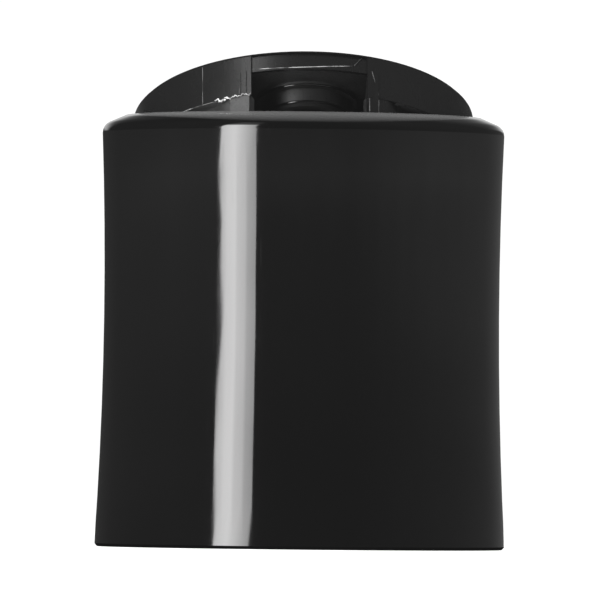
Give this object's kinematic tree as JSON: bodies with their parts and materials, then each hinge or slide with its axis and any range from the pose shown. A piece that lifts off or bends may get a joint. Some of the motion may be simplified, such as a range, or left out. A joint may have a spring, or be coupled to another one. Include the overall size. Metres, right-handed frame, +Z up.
{
  "type": "disc top cap",
  "caption": "Smooth, slightly waisted gloss black screw cap for a bottle, with a round toggle disc in its top that is pressed down behind to tip up in front and uncover the spout. Shown open.",
  "frame": {"origin": "centre of the skirt's bottom edge, on the surface that the cap stands on", "axes": "+Z up along the cap's own axis, front (the side that pours) towards -Y, pivot pins along X"},
  "size_m": [0.0274, 0.0274, 0.0328],
  "materials": {
    "cap_body_plastic": "polished black polypropylene",
    "disc_plastic": "semi-gloss black polypropylene"
  },
  "bodies": {
    "cap": {"cap_body": "cap_body_plastic"},
    "disc": {"disc_top": "disc_plastic"}
  },
  "joints": [
    {"name": "disc_tilt", "type": "hinge", "parent": "cap", "child": "disc", "pos_m": [0, 0, 0.0269], "axis": [1, 0, 0], "range_deg": [0, 22]}
  ]
}
